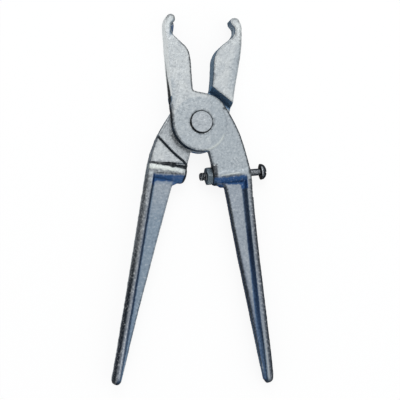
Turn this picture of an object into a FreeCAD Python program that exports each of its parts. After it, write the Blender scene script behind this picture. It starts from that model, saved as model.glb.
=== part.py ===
import FreeCAD, Part
import math
import os

# Hog ringer pliers: two cast levers crossed at a half-lap pivot, a solid rivet,
# and a stop screw with its lock nut. Millimetres. The pliers lie on their back:
# +X to the right, +Y towards the jaws, +Z up, origin on the pivot axis at the table.
# Both levers come from one pattern, drawn here as the front lever: jaw on the left,
# handle on the right. The rear lever is that pattern turned over about the Y axis.

# Lever body
thickness = 12.0          # jaws, shoulders and handle flanges
lap_gap = 0.1             # running gap between the two half-laps
edge_round = 0.8          # cast edges of the faces
corner_round = 1.2        # inner corners of the outline
face_step = 0.4           # pivot disc and jaw stand above the shoulder face
disc_radius = 16.8
raised_x, raised_y = -1.2, -1.2      # centre of the raised disc's edge on the shoulder
raised_radius = 15.6

# Jaw, measured outwards from the middle line and up from the pivot
root_x = 5.2                      # inner corner where the jaw leaves the disc
root_rise = 1.0                   # its height above the disc's top
throat_x, throat_y = 7.4, 41.7    # corner between the straight edge and the ramp
throat_round = 9.0
seat_x, seat_y = 13.05, 53.3      # centre of the hollow that holds the ring
seat_radius = 5.5
nose_angle = 45.0                 # direction from the seat's centre to the nose's
nose_radius = 2.6
crown_x, crown_y = 22.6, 52.0     # where the jaw's straight outer edge ends
taper_y = 46.5                    # above this the hook thins towards its nose, on both faces
hook_taper = 0.13                 # thinning of each face per mm of height

# Ring groove in the hooks
groove_radius = 1.5               # round groove along the anvil lever's hollow
groove_depth = 0.9
wall_thickness = 4.5              # wall that closes the back of the screw lever's hollow
wall_top_x, wall_top_y = 16.3, 59.4      # inner edge of that wall, top and bottom
wall_bottom_x, wall_bottom_y = 16.0, 48.9

# Shoulder and handle
handle_top_x, handle_top_y = 30.8, -34.5
crotch_angle = -73.8              # where its inner edge leaves the disc
knee_x, knee_y = 6.2, -23.0       # inner edge of the shoulder, above the boss
knee_round = 12.0
boss_inset, boss_drop = 1.0, -4.0    # corner under the boss, along and across its axis
boss_round = 2.0
web_root_x, web_root_y = 15.3, -36.4
screw_tip_x, screw_tip_y = 41.8, -146.4   # end of the screw lever's handle
anvil_tip_x, anvil_tip_y = 43.9, -149.3   # end of the anvil lever's handle
tip_radius = 2.6
web_thickness = 5.0
flange_width = 3.2                # across the face of the flange
flange_draft = 1.5                # how far the flange's inner side slopes out
web_foot_round = 1.2

# Half-lap steps: straight walls at a distance from the pivot, square to a direction
jaw_step_distance, jaw_step_angle = 20.2, 125.3
shoulder_step_distance, shoulder_step_angle = 24.25, -45.8
step_draft = 2.5                  # how much nearer the pivot the wall's foot is

# Boss and lug: a round bar across the shoulder, as thick as the casting
bar_end_x, bar_end_y = 7.5, -30.0
bar_tilt = 7.4
bar_radius = thickness / 2 - 0.1
boss_end_round = 1.2
lug_end_round = 2.8
valley_width = 5.5                # from the bar's crest to the valley's wall, at the bar's end
valley_turn = 6.0                 # the wall closes in on the bar by this angle
valley_depth = 3.6

# Rivet
rivet_radius = 4.76
rivet_head_radius = 6.35
rivet_head_depth = 2.4
rivet_chamfer = 0.5
rivet_clearance = 0.05

# Stop screw, a number 10 round-head machine screw, and its nut
screw_radius = 2.413
screw_length = 35.6
screw_reach = 6.9                 # tip beyond the boss
screw_point = 0.6                 # chamfer at the tip
thread_clearance = 0.05
head_radius = 4.55
head_height = 3.5
slot_width = 1.3
slot_depth = 1.9
slot_turn = 25.0                  # about the screw's axis
nut_across_flats = 9.525
nut_thickness = 3.3
nut_seat_gap = 0.02
spot_face_margin = 0.3            # flat seat around the nut's corners

middle = thickness / 2


def vec(x, y, z=0.0):
    return FreeCAD.Vector(x, y, z)


def polar(radius, degrees, x=0.0, y=0.0):
    a = math.radians(degrees)
    return vec(x + radius * math.cos(a), y + radius * math.sin(a))


def jaw(x, y):
    """A point of the pattern's jaw, which lies to the left of the middle line."""
    return vec(-x, y)


def line(a, b):
    return Part.LineSegment(a, b).toShape()


def arc(a, via, b):
    return Part.Arc(a, via, b).toShape()


def corner(before, at, after, radius):
    """The tangent arc of a rounded corner: its first, middle and last points."""
    back = (before - at).normalize()
    on = (after - at).normalize()
    half = back.getAngle(on) / 2
    reach = radius / math.tan(half)
    centre = at + (back + on).normalize() * (radius / math.sin(half))
    first = at + back * reach
    last = at + on * reach
    return first, centre + (at - centre).normalize() * radius, last


def prism(edges, low, high):
    face = Part.Face(Part.Wire(edges))
    face.translate(vec(0, 0, low))
    return face.extrude(vec(0, 0, high - low))


def casting(edges, inner_corners=()):
    """A plate of the full thickness, with rounded inner corners and face edges."""
    plate = prism(edges, 0, thickness)
    for point in inner_corners:
        edge = min(plate.Edges, key=lambda e: e.CenterOfMass.distanceToPoint(point + vec(0, 0, middle)))
        plate = plate.makeFillet(corner_round, [edge])
    return plate.makeFillet(edge_round, on_face(plate, (0, thickness)))


def polygon(points):
    return [line(a, b) for a, b in zip(points, points[1:] + points[:1])]


def beyond_step(distance, degrees, low, high, size=90.0):
    """The block beyond a drafted wall, which stands square to a direction from the pivot."""
    slope = step_draft / middle
    section = polygon([
        vec(distance - slope * low, -size, low),
        vec(size, -size, low),
        vec(size, -size, high),
        vec(distance - slope * high, -size, high),
    ])
    block = Part.Face(Part.Wire(section)).extrude(vec(0, 2 * size, 0))
    block.rotate(vec(0, 0), vec(0, 0, 1), degrees)
    return block


def bar_point(along, across=0.0):
    """A point on the boss's axis, across it in the plan towards the jaws."""
    a = math.radians(bar_tilt)
    return vec(
        bar_end_x + along * math.cos(a) - across * math.sin(a),
        bar_end_y + along * math.sin(a) + across * math.cos(a),
    )


def bar_direction():
    return bar_point(1.0) - bar_point(0.0)


def touch(point, centre, radius, side):
    """Where a straight edge from a point outside touches a circle, on one side of it."""
    along = point - centre
    away = math.degrees(math.atan2(along.y, along.x))
    turn = math.degrees(math.acos(radius / along.Length))
    return polar(radius, away + side * turn, centre.x, centre.y)


def blend(start, along, centre, radius):
    """The arc that leaves start along a direction and runs smoothly onto a circle.

    The arc bends to the right and the circle touches it from inside. The two points
    are one halfway along the arc and the one where they touch.
    """
    inward = vec(along.y, -along.x)
    away = start - centre
    big = (radius ** 2 - away.dot(away)) / (2 * (away.dot(inward) + radius))
    hub = start + inward * big
    meet = hub + (centre - hub).normalize() * big
    halfway = hub + ((start - hub) + (meet - hub)).normalize() * big
    return halfway, meet


def handle_ends(tip_x, tip_y):
    """Where the handle's two straight sides touch its round end, and its last point."""
    centre = vec(tip_x, tip_y + tip_radius)
    outer = touch(vec(handle_top_x, handle_top_y), centre, tip_radius, -1)
    inner = touch(vec(web_root_x, web_root_y), centre, tip_radius, 1)
    return outer, centre + vec(0, -tip_radius), inner


def shoulder_arc(tip_x, tip_y):
    """The shoulder's outer edge, smooth with the disc and with the handle."""
    top = vec(handle_top_x, handle_top_y)
    along = (handle_ends(tip_x, tip_y)[0] - top).normalize()
    halfway, start = blend(top, along, vec(0, 0), disc_radius)
    return start, halfway, top


def root_point():
    """The inner corner where the pattern's jaw leaves the disc."""
    return jaw(root_x, disc_radius + root_rise)


def hook_points():
    """The seat's centre and the nose's, and the point where their arcs meet."""
    seat = jaw(seat_x, seat_y)
    nose = polar(seat_radius + nose_radius, 180.0 - nose_angle, seat.x, seat.y)
    meet = polar(seat_radius, 180.0 - nose_angle, seat.x, seat.y)
    return seat, nose, meet


def lever_outline(tip_x, tip_y):
    """The lever seen from the front, clockwise from the corner at the jaw's root."""
    root = root_point()
    root_end = touch(root, vec(0, 0), disc_radius, -1)
    shoulder, shoulder_mid, handle_top = shoulder_arc(tip_x, tip_y)
    disc_mid = (root_end + shoulder).normalize() * disc_radius
    outer, tip, inner = handle_ends(tip_x, tip_y)
    web_root = vec(web_root_x, web_root_y)
    knee_at = vec(knee_x, knee_y)
    boss_at = bar_point(boss_inset, boss_drop)
    crotch = polar(disc_radius, crotch_angle)
    boss = corner(web_root, boss_at, knee_at, boss_round)
    knee = corner(boss_at, knee_at, crotch, knee_round)
    crown = jaw(crown_x, crown_y)
    foot = touch(crown, vec(0, 0), disc_radius, 1)
    disc_low = (crotch + foot).normalize() * disc_radius
    seat, nose, meet = hook_points()
    crown_mid, nose_start = blend(crown, (crown - foot).normalize(), nose, nose_radius)
    nose_mid = nose + ((nose_start - nose) + (meet - nose)).normalize() * -nose_radius
    throat_at = jaw(throat_x, throat_y)
    seat_end = touch(throat_at, seat, seat_radius, -1)
    seat_mid = seat + ((meet - seat) + (seat_end - seat)).normalize() * seat_radius
    throat = corner(seat_end, throat_at, root, throat_round)
    return [
        line(root, root_end),
        arc(root_end, disc_mid, shoulder),
        arc(shoulder, shoulder_mid, handle_top),
        line(handle_top, outer),
        arc(outer, tip, inner),
        line(inner, web_root),
        line(web_root, boss[0]),
        arc(*boss),
        line(boss[2], knee[0]),
        arc(*knee),
        line(knee[2], crotch),
        arc(crotch, disc_low, foot),
        line(foot, crown),
        arc(crown, crown_mid, nose_start),
        arc(nose_start, nose_mid, meet),
        arc(meet, seat_mid, seat_end),
        line(seat_end, throat[0]),
        arc(*throat),
        line(throat[2], root),
    ]


def on_face(shape, levels):
    """The edges of a shape that lie flat in one of the faces' planes."""
    found = []
    for edge in shape.Edges:
        box = edge.BoundBox
        if box.ZLength < 1e-6 and any(abs(box.ZMin - z) < 1e-6 for z in levels):
            found.append(edge)
    return found


def handle_frame(tip_x, tip_y):
    """The handle's outer side as a ruler: a point s along it and w in from it."""
    top = vec(handle_top_x, handle_top_y)
    along = (handle_ends(tip_x, tip_y)[0] - top).normalize()
    inward = vec(along.y, -along.x)
    return lambda s, w: top + along * s + inward * w


def web_pocket(at, floor, top):
    """The pocket over the web: a flat floor, with the flange's drafted side beside it."""
    past_end, past_edge = 160.0, 60.0

    def section(w, z):
        points = [at(-past_edge, w), at(-past_edge, past_edge), at(past_end, past_edge), at(past_end, w)]
        wire = Part.Wire(polygon(points))
        wire.translate(vec(0, 0, z))
        return wire

    foot = flange_width + flange_draft
    pocket = Part.makeLoft([section(foot, floor), section(flange_width, top)], True, True)
    foot_middle = (at(-past_edge, foot) + at(past_end, foot)) * 0.5 + vec(0, 0, floor)
    edges = sorted(on_face(pocket, (floor,)), key=lambda e: e.CenterOfMass.distanceToPoint(foot_middle))
    return pocket.makeFillet(web_foot_round, edges[:1])


def below_bar(bottom, top):
    """The block below the bar's axis, towards the tips."""
    points = [bar_point(-80, -200), bar_point(80, -200), bar_point(80, 0), bar_point(-80, 0)]
    return prism(polygon(points), bottom, top)


def valley():
    """The valley above the bar, on the back face, whose far wall closes in on the bar."""
    start, end = -20.0, 40.0
    closing = math.tan(math.radians(valley_turn))
    points = [
        bar_point(start, -0.01),
        bar_point(end, -0.01),
        bar_point(end, valley_width - end * closing),
        bar_point(start, valley_width - start * closing),
    ]
    return prism(polygon(points), -1, valley_depth)


def hook_tapers():
    """The two wedges that the hook loses, one on each face, above the taper's start."""
    rise = 40.0
    sunk = rise * hook_taper
    section = polygon([
        vec(-60, taper_y, thickness),
        vec(-60, taper_y + rise, thickness - sunk),
        vec(-60, taper_y + rise, thickness + 1),
        vec(-60, taper_y, thickness + 1),
    ])
    front = Part.Face(Part.Wire(section)).extrude(vec(60, 0, 0))
    return [front, front.mirror(vec(0, 0, middle), vec(0, 0, 1))]


def along_bar(radius, start, end):
    """A cylinder on the bar's axis, from one distance past its end face to another."""
    return Part.makeCylinder(radius, end - start, bar_point(start) + vec(0, 0, middle), bar_direction())


def bar(tip_x, tip_y, end_round):
    """The round bar, with a rounded end, cut off at the lever's outer side."""
    rod = along_bar(bar_radius, 0, 60)
    end = bar_point(0) + vec(0, 0, middle)
    rim = sorted(rod.Edges, key=lambda e: e.CenterOfMass.distanceToPoint(end))
    rod = rod.makeFillet(end_round, rim[:1])
    shoulder, shoulder_mid, handle_top = shoulder_arc(tip_x, tip_y)
    outer = handle_frame(tip_x, tip_y)(30, 0)
    low_left, high_left = vec(-20, outer.y), vec(-20, shoulder.y)
    inside = casting([
        arc(shoulder, shoulder_mid, handle_top),
        line(handle_top, outer),
        line(outer, low_left),
        line(low_left, high_left),
        line(high_left, shoulder),
    ])
    return rod.common(inside)


def lap_recess():
    """What the back half loses between the two steps, for the other lever's disc."""
    high = middle + lap_gap / 2
    block = Part.makeBox(160, 160, high + 1, vec(-80, -80, -1))
    return block.cut([
        beyond_step(jaw_step_distance, jaw_step_angle, -2, high + 1),
        beyond_step(shoulder_step_distance, shoulder_step_angle, -2, high + 1),
    ])


def shoulder_step():
    """The thin layer that leaves the disc standing above the shoulder and handle."""
    low = thickness - face_step
    layer = Part.makeBox(80, 200, 2, vec(polar(disc_radius, crotch_angle).x, -190, low))
    layer = layer.cut(Part.makeBox(90, 50, 4, vec(0, disc_radius / 2, low - 1)))
    return layer.cut(Part.makeCylinder(raised_radius, 4, vec(raised_x, raised_y, low - 1)))


def lever_blank(tip_x, tip_y, end_round):
    """The casting that both levers start from."""
    crotch = polar(disc_radius, crotch_angle)
    inner_corners = [root_point(), crotch, vec(web_root_x, web_root_y)]
    plate = casting(lever_outline(tip_x, tip_y), inner_corners)
    pocket = web_pocket(handle_frame(tip_x, tip_y), middle + web_thickness / 2, thickness + 0.5)
    front = pocket.common(below_bar(-1, thickness + 1))
    back = front.mirror(vec(0, 0, middle), vec(0, 0, 1))
    plate = plate.cut([front, back, valley(), lap_recess(), shoulder_step()] + hook_tapers())
    return plate.fuse(bar(tip_x, tip_y, end_round)).removeSplitter()


def rivet(grow=0.0):
    """The rivet as a solid of revolution, or its hole when grown by a clearance."""
    low, high = 0, thickness
    neck, rim = rivet_radius + grow, rivet_head_radius + grow
    points = [
        vec(0, 0, low),
        vec(rim - rivet_chamfer, 0, low),
        vec(rim, 0, low + rivet_chamfer),
        vec(neck, 0, low + rivet_head_depth),
        vec(neck, 0, high - rivet_head_depth),
        vec(rim, 0, high - rivet_chamfer),
        vec(rim - rivet_chamfer, 0, high),
        vec(0, 0, high),
    ]
    return Part.Face(Part.Wire(polygon(points))).revolve(vec(0, 0), vec(0, 0, 1), 360)


def rivet_hole(grow):
    """The countersunk hole: the rivet's own shape, opened out at both faces."""
    rim = rivet_head_radius + grow
    mouth = rim + rivet_chamfer
    back = Part.makeCone(mouth, rim, rivet_chamfer, vec(0, 0, 0))
    front = Part.makeCone(rim, mouth, rivet_chamfer, vec(0, 0, thickness - rivet_chamfer))
    return rivet(grow).fuse([back, front])


def ring_groove():
    """The round groove along the hollow, halfway through the hook."""
    ring = seat_radius + groove_depth - groove_radius
    return Part.makeTorus(ring, groove_radius, jaw(seat_x, seat_y) + vec(0, 0, middle), vec(0, 0, 1))


def back_wall():
    """The wall that closes the back of the hollow, from the nose to the ramp."""
    points = [
        jaw(wall_top_x, wall_top_y),
        jaw(wall_top_x + nose_radius, wall_top_y),
        jaw(seat_x + seat_radius + 1.0, seat_y),
        jaw(wall_bottom_x + nose_radius, wall_bottom_y),
        jaw(wall_bottom_x, wall_bottom_y),
    ]
    return prism(polygon(points), 0, wall_thickness)


def screw_lever():
    """The front casting, bored through the boss for the stop screw."""
    blank = lever_blank(screw_tip_x, screw_tip_y, boss_end_round)
    lever = blank.fuse(back_wall().cut(hook_tapers())).removeSplitter()
    bore = along_bar(screw_radius + thread_clearance, -1, 40)
    spot_face = along_bar(nut_across_flats / math.sqrt(3) + spot_face_margin, -nut_thickness, 0)
    return lever.cut([bore, spot_face, rivet_hole(0)])


def anvil_lever():
    """The rear casting: the same pattern turned over, its lug left solid."""
    blank = lever_blank(anvil_tip_x, anvil_tip_y, lug_end_round)
    lever = blank.cut([ring_groove(), rivet_hole(rivet_clearance)])
    lever.rotate(vec(0, 0, middle), vec(0, 1, 0), 180)
    return lever


def on_bar_axis(solid, along):
    """Moves a solid drawn along +X from the origin onto the bar's axis."""
    solid.rotate(vec(0, 0), vec(0, 0, 1), bar_tilt)
    solid.translate(bar_point(along) + vec(0, 0, middle))
    return solid


def stop_screw():
    """Pointed shank along +X with a domed, slotted head, then set on the bar's axis."""
    head_start, head_end = screw_length, screw_length + head_height
    dome_middle = vec(head_start + 0.74 * head_height, 0.74 * head_radius)
    profile = [
        line(vec(0, 0), vec(0, screw_radius - screw_point)),
        line(vec(0, screw_radius - screw_point), vec(screw_point, screw_radius)),
        line(vec(screw_point, screw_radius), vec(head_start, screw_radius)),
        line(vec(head_start, screw_radius), vec(head_start, head_radius)),
        arc(vec(head_start, head_radius), dome_middle, vec(head_end, 0)),
        line(vec(head_end, 0), vec(0, 0)),
    ]
    screw = Part.Face(Part.Wire(profile)).revolve(vec(0, 0), vec(1, 0, 0), 360)
    slot = Part.makeBox(2 * slot_depth, slot_width, 4 * head_radius,
                        vec(head_end - slot_depth, -slot_width / 2, -2 * head_radius))
    slot.rotate(vec(0, 0), vec(1, 0, 0), slot_turn)
    return on_bar_axis(screw.cut(slot), -screw_reach)


def lock_nut():
    """A hexagon with a corner towards each face, its corners chamfered on both ends."""
    corner_radius = nut_across_flats / math.sqrt(3)
    corners = [vec(0, corner_radius * math.sin(math.radians(60 * k)),
                   corner_radius * math.cos(math.radians(60 * k))) for k in range(6)]
    nut = Part.Face(Part.Wire(polygon(corners))).extrude(vec(nut_thickness, 0, 0))
    bevel = corner_radius - nut_across_flats / 2
    run = bevel * math.tan(math.radians(30))
    side = [vec(0, 0), vec(0, nut_across_flats / 2), vec(run, corner_radius),
            vec(nut_thickness - run, corner_radius), vec(nut_thickness, nut_across_flats / 2),
            vec(nut_thickness, 0)]
    turned = Part.Face(Part.Wire(polygon(side))).revolve(vec(0, 0), vec(1, 0, 0), 360)
    bore = Part.makeCylinder(screw_radius + thread_clearance, nut_thickness + 2, vec(-1, 0), vec(1, 0, 0))
    return on_bar_axis(nut.common(turned).cut(bore), -nut_thickness - nut_seat_gap)


os.makedirs("parts", exist_ok=True)
for name, make in (
    ("screw_lever", screw_lever),
    ("anvil_lever", anvil_lever),
    ("pivot_rivet", rivet),
    ("stop_screw", stop_screw),
    ("lock_nut", lock_nut),
):
    piece = make()
    print(name, "valid" if piece.isValid() else "NOT VALID", len(piece.Solids), round(piece.Volume, 1))
    piece.exportStep(f"parts/{name}.step")
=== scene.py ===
import math
from types import SimpleNamespace

import bmesh
import bpy
import numpy as np
from mathutils import Matrix, Vector


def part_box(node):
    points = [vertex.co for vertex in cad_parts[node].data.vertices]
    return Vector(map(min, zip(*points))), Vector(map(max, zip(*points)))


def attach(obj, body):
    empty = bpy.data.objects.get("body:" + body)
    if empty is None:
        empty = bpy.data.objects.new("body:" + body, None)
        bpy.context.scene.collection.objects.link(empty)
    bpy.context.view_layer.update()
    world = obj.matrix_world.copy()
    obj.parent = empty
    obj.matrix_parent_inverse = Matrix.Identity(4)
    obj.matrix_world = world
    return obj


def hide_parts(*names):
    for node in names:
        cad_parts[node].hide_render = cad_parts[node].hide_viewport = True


# Hog ringer pliers: two rough zinc-plated castings on a rivet, with a dark stop screw
# and its lock nut. Shapes are worked out in millimetres and go into the meshes in metres.

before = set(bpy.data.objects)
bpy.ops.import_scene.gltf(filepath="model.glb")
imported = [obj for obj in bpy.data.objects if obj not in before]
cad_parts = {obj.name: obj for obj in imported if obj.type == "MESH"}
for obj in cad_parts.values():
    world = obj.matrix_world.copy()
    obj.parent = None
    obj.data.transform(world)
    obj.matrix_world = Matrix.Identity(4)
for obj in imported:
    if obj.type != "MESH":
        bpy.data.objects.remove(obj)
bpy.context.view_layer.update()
scene = bpy.context.scene
tau = 2 * math.pi
print("frame loaded:", ", ".join(sorted(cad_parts)))


def linear(hexColour):
    # sRGB hex to linear: the usual curve, (v + 0.055) / 1.055 to the power 2.4 above the toe
    values = [int(hexColour[i:i + 2], 16) / 255 for i in (1, 3, 5)]
    return [v / 12.92 if v <= 0.04045 else ((v + 0.055) / 1.055) ** 2.4 for v in values] + [1.0]


def cosSin(degrees):
    return math.cos(math.radians(degrees)), math.sin(math.radians(degrees))


def addNode(tree, kind, settings=None, inputs=None, out=0):
    # adds a shader node of that kind, sets or links its inputs by name or number, and gives back
    # one of its outputs
    node = tree.nodes.new("ShaderNode" + kind)
    for name, value in (settings or {}).items():
        setattr(node, name, value)
    for name, value in (inputs or {}).items():
        if isinstance(value, bpy.types.NodeSocket):
            tree.links.new(value, node.inputs[name])
        else:
            node.inputs[name].default_value = value
    return node.outputs[out] if node.outputs else node


def makeMesh(name, points, faces, material):
    mesh = bpy.data.meshes.new(name)
    mesh.from_pydata((np.asarray(points) / 1000).tolist(), [], np.asarray(faces).tolist())
    mesh.polygons.foreach_set("use_smooth", np.ones(len(mesh.polygons), bool))
    mesh.materials.append(material)
    piece = bpy.data.objects.new(name, mesh)
    scene.collection.objects.link(piece)
    return piece


def pointValues(piece, called, values):
    layer = piece.data.attributes.new(called, "FLOAT", "POINT")
    layer.data.foreach_set("value", np.asarray(values, np.float32))


def gridFaces(rows, columns):
    # quads between neighbouring rows; the last column joins the first
    r, c = np.meshgrid(np.arange(rows - 1), np.arange(columns), indexing="ij")
    n = (c + 1) % columns
    here, above = r * columns, (r + 1) * columns
    return np.stack([here + c, here + n, above + n, above + c], -1).reshape(-1, 4)


def waves(points, size, seed, count=36):
    # the sum of plane waves in random directions, about size mm long, with a spread of 1
    dice = np.random.default_rng(seed)
    way = dice.normal(size=(count, 3))
    way /= np.linalg.norm(way, axis=1)[:, None]
    length = size * dice.uniform(0.7, 1.5, count)
    phase = dice.uniform(0, tau, count)
    return math.sqrt(2 / count) * np.sin(points @ (tau * way / length[:, None]).T + phase).sum(1)


def smooth(low, high, value):
    # 0 below low, 1 above high, and 3t^2 - 2t^3 between them
    t = np.clip((value - low) / (high - low), 0, 1)
    return t * t * (3 - 2 * t)


castingFinish = {
    "face": "#B9BEC0",        # tumbled zinc on the flat faces
    "faceShade": "#ACB2B6",   # where the plating is thinner
    "pit": "#4F5860",         # sand pits
    "glint": "#D9DDDD",       # painted glints on the grain
    "grit": 1.25,             # mm, sand grain, drawn as coarse as it needs to show
    "mottle": 6.0,            # mm, patches of thinner plating
    "relief": 0.12,           # mm, depth of the grain that only shades
    "metallic": 0.85,
    "roughness": 0.46,
}

# the attributes that colour a casting, in painting order, each with its name, its colour and how
# far the grain breaks its border
castingLayers = (
    ("shaded", "#969FA6", 0.3),     # painted shade on the plating
    ("sunk", "#939BA3", 0.3),     # webs and lap faces: painted shade and painted blue reflection
    ("blue", "#4F6C8E", 0.2),     # more of that painted blue reflection and shade
    ("wall", "#6F8395", 0.2),     # side walls: painted blue reflection and shade
    ("sideHighlight", "#DDE1E2", 0.2),   # the jaws' outer sides: painted highlight
    ("grey", "#6F7276", 0.6),     # bare sandy skin, and painted shade where flanges round off, under the lug's crest and at the boss's end
    ("scaleAndShade", "#1B1F25", 1.0),    # black scale, and painted shade at the boss's end
    ("stepShade", "#6D8DAA", 0.2),     # the half-lap's step at the jaw: painted shade in the gap
    ("foot", "#22304A", 0.2),     # painted blue shade along the flanges' feet
    ("blueShade", "#2E4F7B", 0.3),     # and painted blue reflection and shade in the corners and under the bars
    ("shadeLine", "#171D22", 0.6),     # painted shade along the cast edges and in the grooves
    ("highlight", "#D0D6D1", 0.7),     # painted highlights on the crests
)


# settings that several nodes share
colours, eased = {"data_type": "RGBA"}, {"interpolation_type": "SMOOTHSTEP"}
plus, minus, times = {"operation": "ADD"}, {"operation": "SUBTRACT"}, {"operation": "MULTIPLY"}
larger, timesPlus = {"operation": "MAXIMUM"}, {"operation": "MULTIPLY_ADD"}


def newMaterial(name):
    material = bpy.data.materials.new(name)
    material.use_nodes = True
    tree = material.node_tree
    tree.nodes.clear()
    return material, tree


def zincPlatedCasting(name, look):
    # Zinc-plated malleable iron, sand cast: the plating gives pale, softly shining faces full
    # of fine pits; the blue on the walls and the dark in the inner corners are painted reflection and shade.
    material, tree = newMaterial(name)
    lumps = {"Vector": addNode(tree, "TexCoord", out="Object"), "Roughness": 0.6}
    grit = addNode(tree, "TexNoise", {}, dict(lumps, Scale=1000 / look["grit"], Detail=3.0), "Fac")
    mottle = addNode(tree, "TexNoise", {}, dict(lumps, Scale=1000 / look["mottle"], Detail=2.0), "Fac")
    sand = addNode(tree, "Attribute", {"attribute_name": "sand"}, {}, "Fac")
    thin = addNode(tree, "MapRange", eased, {"Value": mottle, "From Min": 0.35, "From Max": 0.7})
    face, shade = linear(look["face"]), linear(look["faceShade"])
    colour = addNode(tree, "Mix", colours, {0: thin, 6: face, 7: shade}, 2)
    ragged = addNode(tree, "Math", minus, {0: grit, 1: 0.5})
    for called, tint, breakUp in castingLayers:
        # the grain g shifts a layer's share s by 8 breakUp (g - 1/2) s (1 - s)
        mask = addNode(tree, "Attribute", {"attribute_name": called}, {}, "Fac")
        rest = addNode(tree, "Math", minus, {0: 1.0, 1: mask})
        partly = addNode(tree, "Math", times, {0: mask, 1: rest})
        broken = addNode(tree, "Math", times, {0: ragged, 1: breakUp * 8})
        shift = addNode(tree, "Math", times, {0: broken, 1: partly})
        shifted = addNode(tree, "Math", plus, {0: mask, 1: shift})
        share = addNode(tree, "Clamp", {}, {"Value": shifted})
        colour = addNode(tree, "Mix", colours, {0: share, 6: colour, 7: linear(tint)}, 2)
    # where the sand shows, the grain's low values get painted glints and its high ones are pits
    for tint, start, full, strength in (("glint", 0.46, 0.3, 0.5), ("pit", 0.5, 0.72, 0.75)):
        spots = addNode(tree, "MapRange", eased, {"Value": grit, "From Min": start, "From Max": full})
        shown = addNode(tree, "Math", times, {0: sand, 1: strength})
        amount = addNode(tree, "Math", times, {0: spots, 1: shown})
        colour = addNode(tree, "Mix", colours, {0: amount, 6: colour, 7: linear(look[tint])}, 2)
    grain = addNode(tree, "Math", timesPlus, {0: grit, 1: sand, 2: 0.2})
    bump = addNode(tree, "Bump", {}, {"Strength": 0.5, "Distance": look["relief"] / 1000, "Height": grain})
    dullest, glossiest = look["roughness"] + 0.1, look["roughness"] - 0.08
    gloss = addNode(tree, "MapRange", {}, {"Value": grit, "To Min": glossiest, "To Max": dullest})
    shader = addNode(tree, "BsdfPrincipled", {}, {
        "Base Color": colour, "Specular Tint": colour, "Metallic": look["metallic"],
        "Roughness": gloss, "Normal": bump})
    addNode(tree, "OutputMaterial", {}, {"Surface": shader})
    return material


def darkSteel(name, look):
    # Black-oxidised carbon steel with painted highlights on its crests: dark and glossy with sharp glints.
    material, tree = newMaterial(name)
    place = addNode(tree, "TexCoord", out="Object")
    grain = addNode(tree, "TexNoise", {}, {
        "Vector": place, "Scale": 1000 / look["grain"], "Detail": 3.0, "Roughness": 0.6}, "Fac")
    # the mask of the painted highlights
    highlight = addNode(tree, "Attribute", {"attribute_name": "highlight"}, {}, "Fac")
    ragged = addNode(tree, "MapRange", eased, {"Value": grain, "From Min": 0.3, "From Max": 0.65})
    gleam = addNode(tree, "Math", times, {0: highlight, 1: ragged})
    thin = addNode(tree, "MapRange", eased, {"Value": grain, "From Min": 0.4, "From Max": 0.75})
    colour = addNode(tree, "Mix", colours, {0: thin, 6: linear(look["oxide"]), 7: linear(look["thin"])}, 2)
    colour = addNode(tree, "Mix", colours, {0: gleam, 6: colour, 7: linear(look["bare"])}, 2)
    bump = addNode(tree, "Bump", {}, {"Strength": 0.25, "Distance": look["relief"] / 1000, "Height": grain})
    shader = addNode(tree, "BsdfPrincipled", {}, {
        "Base Color": colour, "Specular Tint": colour, "Metallic": 0.9,
        "Roughness": look["roughness"], "Normal": bump})
    addNode(tree, "OutputMaterial", {}, {"Surface": shader})
    return material


# grain: mm, size of the patches in the oxide; relief: mm, how deep they shade; bare: the painted highlights' colour
screwFinish = {"oxide": "#2B3036", "thin": "#474D54", "bare": "#C9CED3",
               "grain": 0.7, "relief": 0.05, "roughness": 0.34}
nutFinish = {"oxide": "#515C64", "thin": "#75818A", "bare": "#B4BEC1",
             "grain": 0.9, "relief": 0.05, "roughness": 0.4}
rivetFinish = dict(castingFinish, face="#A8AEB3", faceShade="#9BA2A8")
platedCasting = zincPlatedCasting("zinc plated casting", castingFinish)
rivetSteel = zincPlatedCasting("zinc plated rivet steel", rivetFinish)
screwSteel = darkSteel("black oxide screw steel", screwFinish)
nutSteel = darkSteel("black oxide nut steel", nutFinish)
print("materials made")


castingSkin = {
    "voxel": 0.4,        # mm, spacing of the skin's vertices
    "relaxRounds": 2,
    "grain": 0.04,       # mm, depth of the sand grain
    "grainSizes": (1.3, 0.9),   # mm, of its coarse and its fine waves
    "lumps": 0.05,       # mm, depth of the slow unevenness
    "lumpSize": 7.0,     # mm
    "parting": 0.12,     # mm, height of the line where the mould's halves met
    "flangeCrown": 1.1,  # mm, how far the flange's top rounds off at its outer edge
    "flangeCrest": 2.4,  # mm, its highest line, in from the handle's outer side
    "tipDome": 4.0,      # mm, length over which the handle's tip rounds off
    "slices": (-150.0, 62.5, 0.5),   # mm, the heights of the slices whose sides are eased
    "sideReach": 5.0,    # mm, how far in from a side that reaches at most
    "pivotClear": (16.5, 20),        # mm from the pivot, over which the easing sets in
    "stepBow": (2.0, 10.5),          # mm, middle and half length of the shoulder step's bow
    "stepBand": (20.9, 25.6, 0.7),   # mm from the pivot, the band that bows, and its soft ends
    "bumpRadius": 2.6, "bumpHeight": 1.4,   # mm, the round bump under the boss
}

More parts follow.
